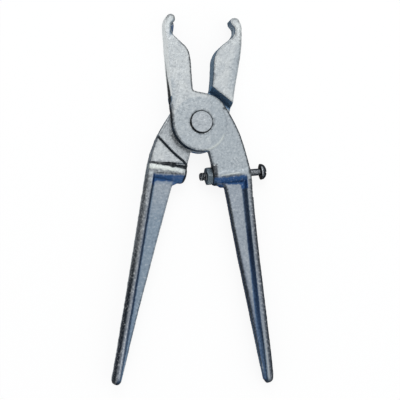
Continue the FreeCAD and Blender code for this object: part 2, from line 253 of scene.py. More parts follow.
# places on the pattern in mm, for the castings' colours: jaw on the left, handle on the right
pattern = {
    "thickness": 12.0,
    "handleTop": (30.8, -34.5),   # where the handle's outer side starts
    "webRoot": (15.3, -36.4),     # and the web's inner edge
    "tipRadius": 2.6,
    "flangeWidth": 3.2,
    "barEnd": (7.5, -30.0),   # inner end of the boss or lug, on its axis
    "barTilt": 7.4,           # degrees
    "bar": (-2, 24.5),        # from its end, along the bar
    "barFoot": (-30.5, -32),  # the heights over which the bar gives way to the handle
    "jawStep": (20.2, 125.3),         # the half-lap's steps: mm from the pivot, and degrees
    "shoulderStep": (24.25, -45.8),
    "stepDraft": 2.5,
    "jawFoot": (9, 14),       # the heights over which the jaw's side starts
    "hollow": ((-20.5, -13.5), (47, 64), (1.5, 5.2)),   # behind the left hook: x, y and height
    "webDepth": (2.6, 4.6),   # below the face
    "lapDepth": (4.6, 6.3),
    "webTop": (-34.5, -34.3),   # the web's upper end, on the screw lever and on the anvil lever
    "webCorner": 1.6,         # radius of the clear web's upper corner
    "raised": (-1.2, -1.2),   # centre of the raised disc
    "discEdge": (15.0, 15.8),   # radii over which its face ends
    "gusset": (12.6, -36.6),  # bump where the web's inner edge meets the boss
    "rivetRim": 6.35,
}
jawHeight = 14                          # mm above the pivot, from where a lever is its jaw
uneven = {"depth": 0.16, "size": 2.6}   # mm, how unevenly the painted lines run


def neighbourMean(values, edges, degree):
    # each vertex's value becomes the mean of its neighbours' values
    total = np.zeros_like(values)
    for column in range(values.shape[1]):
        v = values[:, column]
        total[:, column] = (np.bincount(edges[:, 0], v[edges[:, 1]], len(v))
                            + np.bincount(edges[:, 1], v[edges[:, 0]], len(v)))
    return total / degree[:, None]


def vertexNormals(points, quads):
    # the cross product of each quad's diagonals, summed at its corners
    across = np.cross(points[quads[:, 2]] - points[quads[:, 0]], points[quads[:, 3]] - points[quads[:, 1]])
    normals = np.stack([sum(np.bincount(quads[:, k], across[:, axis], len(points)) for k in range(4))
                        for axis in range(3)], 1)
    return normals / np.maximum(np.linalg.norm(normals, axis=1), 1e-12)[:, None]


def remeshed(nodeName, voxel):
    # the CAD node's surface as an even net of quads: its points in mm, its quads and edges
    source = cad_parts[nodeName]
    copy = bpy.data.objects.new(nodeName + "_source", source.data.copy())
    scene.collection.objects.link(copy)
    merged = bmesh.new()
    merged.from_mesh(copy.data)
    bmesh.ops.remove_doubles(merged, verts=merged.verts, dist=1e-6)
    merged.to_mesh(copy.data)
    merged.free()
    remesh = copy.modifiers.new("net", "REMESH")
    remesh.mode = "VOXEL"
    remesh.voxel_size = voxel / 1000
    graph = bpy.context.evaluated_depsgraph_get()
    net = bpy.data.meshes.new_from_object(copy.evaluated_get(graph))
    points = np.zeros(len(net.vertices) * 3)
    net.vertices.foreach_get("co", points)
    quads = np.zeros(len(net.loops), int)
    net.loops.foreach_get("vertex_index", quads)
    edges = np.zeros(len(net.edges) * 2, int)
    net.edges.foreach_get("vertices", edges)
    bpy.data.objects.remove(copy)
    bpy.data.meshes.remove(net)
    return points.reshape(-1, 3) * 1000, quads.reshape(-1, 4), edges.reshape(-1, 2)


def handleRuler(tip, start="handleTop", side=-1):
    # Distance along one side of the handle, and in from it: the side runs from its start to
    # touch the tip's circle, at the angle whose cosine is the radius over the distance.
    top, centre = np.array(pattern[start]), np.array(tip) + (0, pattern["tipRadius"])
    away = math.atan2(*(top - centre)[::-1])
    turn = away + side * math.acos(pattern["tipRadius"] / np.linalg.norm(top - centre))
    touch = centre + pattern["tipRadius"] * np.array((math.cos(turn), math.sin(turn)))
    along = (touch - top) / np.linalg.norm(touch - top)
    inward = -side * np.array((along[1], -along[0]))
    return lambda p: ((p - top) @ along, (p - top) @ inward)


def largest(*masks):
    return np.maximum.reduce(masks)


def band(value, low, high, soft=0.25):
    # 1 between low and high, with soft ends
    return smooth(low - soft, low + soft, value) * (1 - smooth(high - soft, high + soft, value))


def crownFlange(points, tip):
    # The flange's top falls away as a parabola from a crest near its inner edge, and the handle
    # ends in a dome: the half thickness shrinks as the root of 1 - q^2.5 over the last few mm.
    skin, half = castingSkin, pattern["thickness"] / 2
    s, w = handleRuler(tip)(points[:, :2])
    crest, width = skin["flangeCrest"], pattern["flangeWidth"]
    depth = half - np.abs(points[:, 2] - half)
    reach = np.where(w < crest, crest, width + 0.4 - crest)
    drop = np.where(w < crest, skin["flangeCrown"], 0.5 * skin["flangeCrown"])
    fall = drop * np.clip(np.abs(w - crest) / reach, 0, 1.1) ** 2
    share = smooth(0, 8, s) * (1 - smooth(width, width + 0.8, w)) * (1 - smooth(0.6, 2.0, depth))
    points[:, 2] -= np.sign(points[:, 2] - half) * fall * share
    q = np.clip((tip[1] + skin["tipDome"] - points[:, 1]) / skin["tipDome"], 0, 0.97)
    points[:, 2] = half + (points[:, 2] - half) * np.sqrt(1 - q ** 2.5)
    return points


def fitSides(points, look):
    # The cast sides bow a little: each slice across the lever is eased in x near its left and
    # right side, by amounts read off between heights on the pattern, and not round the pivot.
    skin = castingSkin
    start, end, step = skin["slices"]
    rows = np.arange(start, end, step)
    row = np.clip(np.rint((points[:, 1] - start) / step).astype(int), 0, len(rows) - 1)
    low, high = np.full(len(rows), np.inf), np.full(len(rows), -np.inf)
    np.minimum.at(low, row, points[:, 0])
    np.maximum.at(high, row, points[:, 0])
    full = high > low
    low = np.interp(points[:, 1], rows[full], low[full])
    high = np.interp(points[:, 1], rows[full], high[full])
    reach = np.minimum(0.4 * (high - low), skin["sideReach"]) + 0.01
    shift = 0
    for called, gap in (("left", points[:, 0] - low), ("right", high - points[:, 0])):
        heights, amounts = np.array(sorted(look[called])).T
        shift = shift + np.interp(points[:, 1], heights, amounts) * (1 - smooth(0, 1, gap / reach))
    moved = points.copy()
    moved[:, 0] += shift * smooth(*skin["pivotClear"], np.hypot(points[:, 0], points[:, 1]))
    moved[:, :2] += easeCorners(points[:, :2], look)
    return moved


def easeCorners(flat, look):
    # Each nudge is a bump of (1 - q^2)^2, where q is the distance over its reach in x and in y.
    # The shoulder's step bows away from the pivot, by 1 - q^2 along its length.
    shift = np.zeros_like(flat)
    for x, y, wide, tall, dx, dy in look["nudges"]:
        q = ((flat[:, 0] - x) / wide) ** 2 + ((flat[:, 1] - y) / tall) ** 2
        shift += (np.clip(1 - q, 0, 1) ** 2)[:, None] * (dx, dy)
    (c, s), (middle, half) = cosSin(pattern["shoulderStep"][1]), castingSkin["stepBow"]
    away = np.array((look["side"] * c, s))
    beside = np.array((-look["side"] * away[1], look["side"] * away[0]))
    low, high, soft = castingSkin["stepBand"]
    bow = look["bow"] * np.clip(1 - ((flat @ beside - middle) / half) ** 2, 0, 1) * band(flat @ away, low, high, soft)
    return shift + bow[:, None] * away


# In what follows smooth and band take the mm or the slope over which a mark comes up, and the
# number in front of them is how strong the mark gets.

def placesOn(points, normals, look):
    # Where each point lies on the pattern, in mm. front is 1 on the screw lever and rear on the
    # anvil lever. x and y have the jaw on the left; w is in from the handle's outer side and u
    # in from its web's inner edge; along and across are on the bar's axis; height is from the
    # half-lap's side up, and depth is below the nearer face.
    side, half = look["side"], pattern["thickness"] / 2
    p = SimpleNamespace(front=float(side > 0), rear=float(side < 0))
    p.x, p.y = points[:, 0] * side, points[:, 1]
    p.nx, p.ny, p.nz = normals[:, 0] * side, normals[:, 1], np.abs(normals[:, 2])
    p.height = points[:, 2] if side > 0 else 2 * half - points[:, 2]
    p.depth = half - np.abs(p.height - half)
    p.radius, p.turn = np.hypot(p.x, p.y), np.arctan2(p.y, p.x)
    p.seenTurn = np.arctan2(points[:, 1], points[:, 0])
    p.disc = np.hypot(p.x - pattern["raised"][0], p.y - pattern["raised"][1])
    flat = np.stack([p.x, p.y], 1)
    p.w = handleRuler(look["tip"])(flat)[1]
    p.u = handleRuler(look["tip"], "webRoot", 1)(flat)[1]
    p.fromTip = p.y - look["tip"][1]
    c, s = cosSin(pattern["barTilt"])
    bx, by = p.x - pattern["barEnd"][0], p.y - pattern["barEnd"][1]
    p.along, p.across = bx * c + by * s, by * c - bx * s
    p.jawIn = p.x + 18.65 + 0.11 * (p.y - 16)       # in from the jaw's outer side
    p.wobble = uneven["depth"] * waves(points, uneven["size"], look["seed"] + 3)

    # how far the surface lies flat, stands upright, or faces out of the tool or into it
    p.upright, p.rounded = 1 - smooth(0.35, 0.7, p.nz), 1 - smooth(0.6, 0.93, p.nz)
    p.flat = smooth(0.75, 0.92, p.nz)
    p.top = smooth(0.8, 0.95, p.nz) * (1 - smooth(1.2, 2.2, p.depth))
    toRight, toLeft = smooth(0.2, 0.6, p.nx), smooth(0.2, 0.6, -p.nx)
    p.outward = np.where(p.y > jawHeight, toLeft, toRight)
    p.inward = np.where(p.y > jawHeight, toRight, toLeft)
    return p


def findParts(p):
    # How far each point belongs to the handle's flange and web, the bar's ends, the jaw's outer
    # side, the hollow behind the left hook, and the half-lap's two steps.
    p.middle = p.front * smooth(-135, -110, p.y)
    p.nearTip = smooth(-95, -135, p.y)
    p.handle = smooth(*pattern["barFoot"], p.y)
    p.webTop = pattern["webTop"][0] if p.front else pattern["webTop"][1]
    p.flangeEdge = 3.0 - (0.65 + 0.7 * smooth(-105, -125, p.y)) * p.rear + 0.75 * p.middle
    p.flange = p.handle * (1 - smooth(p.flangeEdge, p.flangeEdge + 0.6, p.w))
    p.web = p.flat * p.handle * band(p.depth, *pattern["webDepth"], 0.3) * smooth(4.4, 5.2, p.w)
    p.strip = p.upright * p.handle * p.front * p.inward * (p.w > 5)     # the web's inner edge
    p.lowSkirt = p.rear * p.handle * smooth(0.1, 0.4, p.nx) * smooth(8.4, 9.6, p.height)
    p.bossEnd = p.front * band(p.along, -1, 2.6, 0.7) * band(p.across, -2.6, 6, 1.2)
    p.lugEnd = p.rear * (1 - smooth(14.5, 16.5, p.x)) * smooth(-31.8, -33.4, p.y)
    p.underBoss = p.front * smooth(13, 9, p.x)
    p.lowBar = p.wobble + (-31.2 + 0.14 * (p.x - 12) if p.front else -30.85 - 0.02 * (26 - p.x))
    p.jawSide = smooth(*pattern["jawFoot"], p.y) * smooth(0.5, -0.5, p.x + 16 + 0.075 * (p.y - 15))
    acrossHollow, alongHollow, floor = pattern["hollow"]
    p.behind = (p.front * p.flat * band(p.height, *floor, 0.3) * band(p.x, *acrossHollow, 0.3)
                * band(p.y, *alongHollow, 0.5))
    # the left hook's tip leans back into the wall behind the hollow
    beyond = 0.8 * (p.x + 16.2) - 0.6 * (p.y - 60.4)
    p.lean = (p.front * smooth(-0.2, 0.35, beyond) * smooth(-19.9, -19.3, p.x)
              * smooth(48, 50, p.y) * p.top)
    p.steps = {}
    for name, reach in (("jawStep", 0.9), ("shoulderStep", 0.2)):
        distance, angle = pattern[name]
        c, s = cosSin(angle)
        wide = band(p.x * c + p.y * s, distance - pattern["stepDraft"] - reach, distance + 0.1, 0.25)
        p.steps[name] = wide * band(p.height, 0.4, 6.4, 0.2) * (1 - smooth(6.05, 6.1, p.height) * p.upright)


def plateShading(p):
    # painted shade: the raised disc, the screw lever's shoulder and the jaws' outer edges are painted darker
    x, y = p.x, p.y
    onDisc = (0.62 + 0.2 * smooth(6, 11, x)) * (1 - smooth(*pattern["discEdge"], p.disc))
    shoulder = p.front * smooth(22, 14, y) * smooth(2, 6, x)
    discSide = p.front * band(p.disc, 14.8, 16.1, 0.4) * smooth(0.86, 0.97, np.cos(p.turn + 0.05))
    shaded = largest(onDisc, 0.8 * shoulder, discSide) * (1 - smooth(1.2, 2.2, p.depth))
    shaded = shaded + 0.5 * p.rear * band(y, -31, -24, 2)
    jaw = 0.55 * smooth(30, 18, y) if p.front else 0.75 * band(y, 19, 46, 6)
    wide = 4.2 + 2.4 * p.rear * smooth(42, 32, y)
    return np.maximum(shaded, jaw * smooth(6, 10, y) * (1 - smooth(1.2, wide, p.jawIn)) * (x < 0))


def sunkFaces(p):
    # webs, lap faces and the wall behind the hollow lie deeper, and get painted shade and a painted blue reflection
    lap = 0.35 * p.flat * band(p.depth, *pattern["lapDepth"], 0.3) * smooth(-31, -29, p.y)
    sunk = largest(p.web, lap, p.behind, 0.8 * p.flange * p.flat)
    upperWeb = 0.3 * p.rear * smooth(p.webTop - 2.4, p.webTop - 0.8, p.y)
    blue = largest(
        (0.08 + 0.7 * p.nearTip + upperWeb) * p.web,
        0.7 * p.behind,
        p.underBoss * smooth(-31.5, -32.5, p.y) * (1 - p.web),
        p.lugEnd,
    )
    return sunk, blue


def castWalls(p):
    # walls get a painted blue reflection and shade, and the jaws' outer sides a painted highlight
    y = p.y
    highlightedSide = 0.92 * p.outward * smooth(*pattern["jawFoot"], y)
    wall = p.upright * (1 - 0.13 * p.rear * smooth(14, 20, y)) * (1 - highlightedSide)
    flangeFoot = band(p.w, p.flangeEdge + 0.1, 5.4 + 0.9 * p.middle, 0.3) * (p.depth > 0.4)
    wall = largest(
        wall * (1 - 0.4 * p.outward * band(y, -60, 9, 4)),
        0.6 * p.rear * p.web * smooth(-36, -60, y),
        smooth(-31, -32, y) * flangeFoot,
        0.95 * p.lean,
    )
    sideHighlight = np.maximum(p.rounded * p.outward * p.jawSide * (1 - p.behind), 0.7 * p.lowSkirt)
    return wall, sideHighlight


def bareSandAndShade(p):
    # the flanges are bare and sandy: all over on the anvil lever, on the outer half of the other;
    # the grey is also painted shade on the other's rounded flange, under the lug's crest, on some walls and at the
    # boss's end
    y, w = p.y, p.w
    if p.front:
        bare = (0.55 + 0.35 * smooth(-40, -60, y)) * (1 - smooth(1.9, 3.5, w))
    else:
        bare = (0.6 + 0.22 * smooth(-42, -62, y)) * (1 - 0.25 * smooth(1.6, 3.0, w))
    underCrest = band(p.across + p.wobble, -2.3, 0.2, 0.4) * band(p.along, 1.6, 24, 0.4) * (p.depth < 4)
    grey = largest(
        p.flange * bare * (1 - 0.25 * p.front * p.nearTip),
        p.rear * p.upright * p.outward * (0.6 * smooth(8, -4, y) + 0.4 * smooth(-26, -40, y)),
        0.85 * p.front * p.upright * p.inward * band(y, -33, -16, 1),
        0.6 * p.rear * underCrest,
        0.95 * p.bossEnd,
    ) * (1 - 0.8 * p.lowSkirt)
    strip = 1 - smooth(0.6, 1.4, w * (1 + 0.8 * smooth(-128, -140, y)))
    scaleAndShade = p.rear * strip * (0.1 * p.handle + 0.75 * smooth(-68, -100, y))
    return grey, np.maximum(scaleAndShade * (1 - p.lowSkirt), 0.45 * p.bossEnd)


def blueShading(p):
    # Painted blue shade lies round the web's clear part, along the flange's foot and under the bar.
    # The clear part has a rounded top corner: r less the distance from the corner's centre.
    x, y, w = p.x, p.y, p.w
    r = pattern["webCorner"]
    insideFoot = w + 0.6 * p.wobble - 5.0 - 0.8 * p.middle + 1.8 * smooth(-100, -135, y)
    insideFoot = insideFoot - 0.4 * p.front * smooth(-100, -60, y)
    belowTop = p.webTop - y + p.wobble
    cut = r - np.hypot(np.maximum(r - insideFoot, 0), np.maximum(r - belowTop, 0))
    outsideClear = 1 - smooth(-0.3, 0.4, np.minimum(cut, np.minimum(insideFoot, belowTop)))

    foot = smooth(-30, -31.5, y) * smooth(p.flangeEdge - 0.2, p.flangeEdge + 0.4, w) * outsideClear
    foot = foot * (p.depth > 0.02 + 0.33 * p.front) * (1 - smooth(5.0, 6.4, w - 0.8 * p.middle))
    foot = foot * (0.72 + 0.28 * smooth(4.2, 4.7, w) if p.front else 0.58)
    foot = foot * (1 - 0.3 * p.front * smooth(-70, -110, y))
    foot = foot * (1 - 0.4 * p.front * smooth(-105, -125, y))
    foot = np.maximum(foot, 0.45 * p.rear * smooth(-105, -120, y) * band(w, 3.1, 4.2, 0.3))
    foot = foot * (1 - 0.12 * p.front * smooth(-64, -56, y))
    reachIn = 0.2 + 2.0 * band(y, -130, -70, 20)
    innerEdge = p.handle * (1 - smooth(reachIn * 0.5, reachIn + 0.6, p.u)) * (p.depth > 2.2)
    foot = largest(
        foot,
        0.6 * p.front * innerEdge * (1 - 0.7 * p.nearTip),
        (0.45 - 0.2 * p.nearTip) * p.strip,
    )

    blueShade = smooth(p.lowBar + 1.0, p.lowBar - 0.9, y) * band(p.along, *pattern["bar"], 0.4)
    blueShade = blueShade * band(p.across, -9.2, -1.0, 0.4) * smooth(2.7, 3.4, w) * outsideClear
    blueShade = np.maximum(blueShade * (1 - 0.25 * p.lugEnd), 0.7 * p.lugEnd * smooth(-33.4, -34.6, y))
    blueShade = blueShade * (1 - 0.5 * p.underBoss * smooth(-32, -33.5, y))
    gusset = 1 - smooth(1.5, 2.3, np.hypot(x - pattern["gusset"][0], y - pattern["gusset"][1]))
    discFoot = smooth(0.75, 0.95, -p.ny) * band(p.radius, 16, 18, 0.4) * (y < 0)
    alongFoot = band(w, 3.6, 5.4 + 0.8 * p.middle, 0.4)
    blueShade = largest(
        blueShade,
        0.9 * p.front * gusset,
        0.4 * p.upright * discFoot,
        0.6 * p.behind,
        (0.1 * smooth(-70, -110, y) + 0.1 * p.front * smooth(-34, -50, y)) * p.flange,
        p.front * smooth(-60, -100, y) * np.maximum(0.55 * alongFoot, 0.5 * p.nearTip * p.web),
        0.18 * p.rear * smooth(-40, -60, y) * band(w, p.flangeEdge + 0.2, 5.4, 0.4),
    )
    return foot, blueShade


def edgeLines(p, edge):
    # painted shade on the faces' own edges: strongly round the disc and the screw lever's jaw, and
    # along the handles, but not on the flange's inner half
    x, y = p.x, p.y
    shoulder = 0.6 * p.front * smooth(14, 8, y) * smooth(5, 10, x)
    rim = 0.25 + shoulder + (0.12 + 0.15 * p.front) * smooth(42, 50, y)
    innerJaw = 0.75 * p.front * band(y, 16, 46, 2) * smooth(-14, -12, x)
    outerJaw = 0.6 * p.front * smooth(14, 8, y) * smooth(-10, -13, x) * (y > -20)
    rim = largest(rim, innerJaw, outerJaw)
    rim = rim * (1 - 0.9 * p.front * p.jawSide * smooth(60, 54, y)) * (1 - p.lowSkirt)
    rim = rim * (1 - p.front * band(p.disc, 14.2, 16.4, 0.3) * smooth(2, 6, x))
    hook = 0.6 * p.front * band(y, 48, 62, 1) * smooth(-19.8, -18.8, x)
    handle = 0.7 * p.handle * (1 - 0.5 * p.web * p.rear) * (1 - 0.88 * p.front * smooth(2.4, 1.4, p.u))
    handle = handle * (1 - 0.7 * p.front * p.nearTip) * (1 - 0.5 * p.rear * smooth(-95, -60, y))
    rim = largest(rim, hook, handle)
    return edge * rim * (1 - p.handle * band(p.w, 1.3, 5.8, 0.4)) * (1 - p.lowSkirt)


def darkLines(p, edge, blueShade):
    # painted shade: along the faces' edges, down the disc's side, round the rivet and in the valley
    x, y, w = p.x, p.y, p.w
    discSide = p.front * band(y, -18, 42, 3) * smooth(0.1, 0.5, -p.nx) * (x < 0)
    aboveJaw = band(p.height, 2.2, 9.5 - 3.5 * smooth(14, 26, y), 0.7) * smooth(40, 18, y)
    discSide = discSide * np.maximum(aboveJaw, smooth(10, 5, y))
    lowSide = p.front * band(y, -18, 2, 2) * (x < 2) * band(p.radius, 15.5, 18, 0.3)
    beside = smooth(0.82, 0.93, np.cos(p.seenTurn - math.radians(230)))
    around = np.cos(p.seenTurn - math.radians(225))
    rivetRing = band(p.radius, pattern["rivetRim"] - 0.3, pattern["rivetRim"] + 0.4 + 0.3 * around, 0.15)
    valley = band(p.across + p.wobble, 2.35, 4.65 - 1.2 * smooth(11.5, 18, p.along), 0.2)
    flangeTop = p.flange * (1 - smooth(0.9, 2.5, w))
    footLine = smooth(-34, -38, y) * band(w, 4.5, 5.6, 0.35) * (1 - 0.7 * p.nearTip)
    return largest(
        edgeLines(p, edge) * (1 - 0.7 * blueShade),
        (0.6 + 0.35 * smooth(-6, 2, y)) * discSide * p.upright,
        0.55 * lowSide * p.upright,
        0.42 * p.rear * p.flat * band(p.radius, 16.8, 18.5, 0.4) * beside,
        0.35 * p.bossEnd * p.upright,
        (0.12 - 0.1 * p.nearTip) * p.strip,
        0.75 * p.steps["shoulderStep"] * (1 - 0.8 * smooth(-9.5, -8, y)),
        0.5 * p.front * band(y - p.lowBar, -0.3, 1.0, 0.35) * band(x, 12.5, 24.5, 0.6),
        0.65 * p.rounded * smooth(3.2, 0.8, p.fromTip),
        0.3 * p.lean,
        0.75 * p.front * smooth(-108, -122, y) * band(w, 3.5, 4.1, 0.2),
        (0.64 + 0.14 * p.nearTip) * p.front * flangeTop,
        0.5 * p.front * footLine,
        (0.67 + 0.23 * around) * rivetRing,
        0.9 * valley * band(p.along, *pattern["bar"], 0.3) * (p.height < 4.6),
        0.85 * p.rear * band(p.along, -1, 1.5, 0.3) * band(p.across, -5.5, 5.6, 0.4),
        0.75 * p.rear * band(y, -30.6, -30.0, 0.3) * band(x, 10, 26, 1),
    )


def paintedHighlights(p):
    # painted highlights: the lug's crest, a thin line over the web, the hooks' tops and an arc of the disc's foot
    x, y = p.x, p.y
    crest = band(p.across + p.wobble, 0.3 - 0.045 * p.along, 2.3, 0.4) * band(p.along, 1.6, 24, 0.4)
    overWeb = band(y - 0.22 * (x - 12), -30.5, -30.1, 0.25) * band(x, 12, 22.5, 0.8)
    discArc = band(p.disc, 14.9, 16.0, 0.5) * smooth(0.86, 0.97, np.cos(p.turn + math.radians(53)))
    return largest(
        (0.42 + 0.26 * smooth(2, 13, p.along)) * p.rear * crest * (p.depth < 3),
        0.3 * p.front * p.flange * p.nearTip * band(p.w, 2.1, 3.0, 0.3) * p.top,
        0.9 * p.front * overWeb * p.top,
        0.2 * smooth(50, 57, y) * p.top,
        0.5 * p.front * discArc,
    )


def paintCasting(points, normals, edge, look):
    # where each layer of the finish and of the painted light and shade lies, from 0 to 1, worked out in the pattern's
    # own frame
    p = placesOn(points, normals, look)
    findParts(p)
    sunk, blue = sunkFaces(p)
    wall, sideHighlight = castWalls(p)
    grey, scaleAndShade = bareSandAndShade(p)
    foot, blueShade = blueShading(p)
    shadeLine = darkLines(p, edge, blueShade)
    highlight = paintedHighlights(p) * (1 - shadeLine)
    sand = (look["sandBase"] + 0.6 * grey) * (1 - 0.95 * blueShade) * (1 - foot) * (1 - 0.7 * shadeLine)
    for x, y, size, strength in look["sandSpots"]:
        sand = np.maximum(sand, strength * np.exp(-((points[:, 0] - x) ** 2 + (points[:, 1] - y) ** 2) / size ** 2))
    return {"shaded": plateShading(p), "sunk": sunk, "blue": blue, "wall": wall, "sideHighlight": sideHighlight, "grey": grey,
            "scaleAndShade": scaleAndShade, "stepShade": p.steps["jawStep"], "foot": foot, "blueShade": blueShade, "shadeLine": shadeLine, "highlight": highlight,
            "sand": sand}


def castEdges(points, normals, edges, degree):
    # how far the surface stands above its own smoothed form, widened by two vertices and softened
    soft = points
    for step in range(4):
        soft = 0.5 * soft + 0.5 * neighbourMean(soft, edges, degree)
    edge = smooth(0.02, 0.06, -((soft - points) * normals).sum(1))
    for step in range(2):
        widest = edge.copy()
        np.maximum.at(widest, edges[:, 0], edge[edges[:, 1]])
        np.maximum.at(widest, edges[:, 1], edge[edges[:, 0]])
        edge = widest
    return 0.5 * edge + 0.5 * neighbourMean(edge[:, None], edges, degree)[:, 0]


def castSkin(nodeName, body, look):
    skin = castingSkin
    points, quads, edges = remeshed(nodeName, skin["voxel"])
    degree = np.bincount(edges.ravel(), minlength=len(points)).astype(float)
    for weight in (0.5, -0.52) * skin["relaxRounds"]:
        points = points + weight * (neighbourMean(points, edges, degree) - points)
    points[:, 0] *= look["side"]
    points = crownFlange(points, look["tip"])
    points[:, 0] *= look["side"]
    if look["side"] > 0:
        # a small round bump, (1 - (d/r)^2)^2 high, in the corner under the boss
        away = np.hypot(points[:, 0] - pattern["gusset"][0], points[:, 1] - pattern["gusset"][1]) / skin["bumpRadius"]
        bump = skin["bumpHeight"] * np.clip(1 - away ** 2, 0, 1) ** 2
        points = points + bump[:, None] * vertexNormals(points, quads)
    drawn = points
    points = fitSides(points, look)
    normals = vertexNormals(points, quads)
    edge = castEdges(points, normals, edges, degree)
    broad = normals
    for step in range(2):
        broad = neighbourMean(broad, edges, degree)
    masks = paintCasting(drawn, broad, edge, look)

    # the sand's grain and the slow lumps only go inwards, so the skin stays in the CAD box
    seed, (coarse, fine) = look["seed"], skin["grainSizes"]
    grain = waves(points, coarse, seed) + 0.8 * waves(points, fine, seed + 1)
    lumps = waves(points, skin["lumpSize"], seed + 2)
    depth = skin["grain"] * (2.2 + grain) * (0.45 + 0.55 * masks["sand"]) + skin["lumps"] * (1 + 0.5 * lumps)
    # the parting line is a ridge of width 0.3 mm where the walls pass half the thickness
    onWall = 1 - smooth(0.3, 0.6, np.abs(broad[:, 2]))
    parting = skin["parting"] * onWall * np.exp(-((points[:, 2] - pattern["thickness"] / 2) / 0.3) ** 2)
    points = points - normals * np.maximum(depth - parting, 0)[:, None]
    low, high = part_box(nodeName)
    points = np.clip(points, np.array(low) * 1000, np.array(high) * 1000)

    piece = makeMesh(nodeName + "_skin", points, quads, platedCasting)
    for called, values in masks.items():
        pointValues(piece, called, values)
    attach(piece, body)
    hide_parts(nodeName)
    print(nodeName, "skin:", len(points), "vertices,", len(quads), "quads")
    return piece


# sandSpots: x, y, radius and strength of the patches where the sand shows most, in mm.
# nudges: x, y, reach in x and in y, and how far that corner is eased in x and in y, in mm.
# bow: how far the shoulder's step bows, in mm.
# left and right: height and how far that side is eased towards +X, in mm.
screwLever = {
    "side": 1, "seed": 11, "tip": (41.8, -146.4), "sandBase": 0.38, "bow": 0.0,
    "sandSpots": [(-15, 36, 14, 0.42), (-15, 8, 10, 0.5), (21, -24, 12, 0.55)],
    "nudges": [(39.6, -146.2, 2.6, 2.6, 0.35, 0.5), (8, -37.2, 2.4, 2.4, 0, 0.4),
               (11.6, -38.4, 2.4, 2.4, 0, -0.35)],
    "left": [
        (57, 0), (54, 0.4), (50, 0.6), (45, 0.5), (40, 0.36), (27, 0.38), (22, 0.52), (11.5, 0.62),
        (9, -0.35), (5, -0.3), (0, 0), (-18, 0), (-20.5, 0.3), (-25, 0.3), (-27, 0), (-34, 0),
        (-38, -0.1), (-50, -0.06), (-58, -0.22), (-77, -0.3), (-91, -0.1), (-108, 0.08),
        (-118, 0.25), (-128, 0.32), (-135, 0.5), (-143, 0.7),
    ],
    "right": [
        (60, -0.1), (58.5, -0.1), (56.5, 0.45), (54.5, 0.3), (52, -0.1), (49.5, -0.7), (43, -0.85),
        (38, -0.45), (35, -0.16), (20, -0.15), (14, 0), (-6, 0), (-9, -0.2), (-14, -0.33),
        (-18, -0.45), (-22, -0.38), (-26, -0.15), (-30, -0.2), (-37, -0.5), (-53, -0.67),
        (-78, -0.62), (-91, -0.3), (-98, -0.26), (-105, -0.1), (-115, 0), (-130, 0.3), (-141, 0.25),
        (-145, 0),
    ],
}
anvilLever = {
    "side": -1, "seed": 23, "tip": (43.9, -149.3), "sandBase": 0.38, "bow": 0.88,
    "sandSpots": [(-24, -24, 10, 0.4), (20, 38, 12, 0.4)],
    "nudges": [(0.5, -19, 8, 5, 0, -0.45), (-10.4, -33.1, 3.5, 3.5, -0.4, 0.4),
               (-14.6, -35.4, 3, 3, 0, -0.3)],
    "left": [
        (60, -0.4), (57.8, 0.1), (55.6, 0.3), (53.4, 0.1), (51, -0.42), (48.8, -0.6), (46.4, -0.4),
        (44.2, 0), (42, 0.2), (39.7, 0.08), (37.4, -0.3), (35.2, -0.47), (33, -0.2), (30.6, -0.08),
        (28.4, 0.1), (23.8, 0.33), (20, 0.33), (17, 0), (0, -0.2), (-5, -0.43), (-9, -0.62),
        (-19, -0.63), (-23, -0.36), (-27, -0.17), (-30, 0.03), (-40, 0.03), (-47, 0.18),
        (-57, 0.26), (-84, 0.36), (-95, 0.42), (-118, 0.25), (-131, 0.36), (-138, 0.25), (-145, 0),
    ],
    "right": [
        (59, 0.2), (57, 0.25), (54, 0), (50, 0.25), (47, 0.55), (42, 0.8), (38, 0.88), (34, 0.68),
        (27, 0.42), (24, 0.2), (18, 0), (-33, 0), (-43, -0.33), (-57, -0.47), (-64, -0.6),
        (-87, -0.75), (-95, -0.86), (-108, -0.9), (-118, -0.78), (-128, -0.72), (-133, -0.5),
        (-145, -0.4),
    ],
}
castSkin("screw_lever", "screw_lever", screwLever)
castSkin("anvil_lever", "anvil_lever", anvilLever)


def closeUp(piece):
    # merges the points that meet at seams and poles, and turns every face outwards
    net = bmesh.new()
    net.from_mesh(piece.data)
    bmesh.ops.remove_doubles(net, verts=net.verts, dist=2e-6)
    bmesh.ops.dissolve_degenerate(net, edges=net.edges, dist=1e-7)
    bmesh.ops.recalc_face_normals(net, faces=net.faces)
    net.to_mesh(piece.data)
    net.free()
    return piece


def meshPoints(piece):
    points = np.zeros(len(piece.data.vertices) * 3)
    piece.data.vertices.foreach_get("co", points)
    return points.reshape(-1, 3) * 1000


rivetShape = {
    "height": 12.0, "shank": 4.76, "rim": 6.35, "headDepth": 2.4, "chamfer": 0.5,
    "dents": 0.05,       # mm, depth of the hammer marks
    "columns": 96,
}


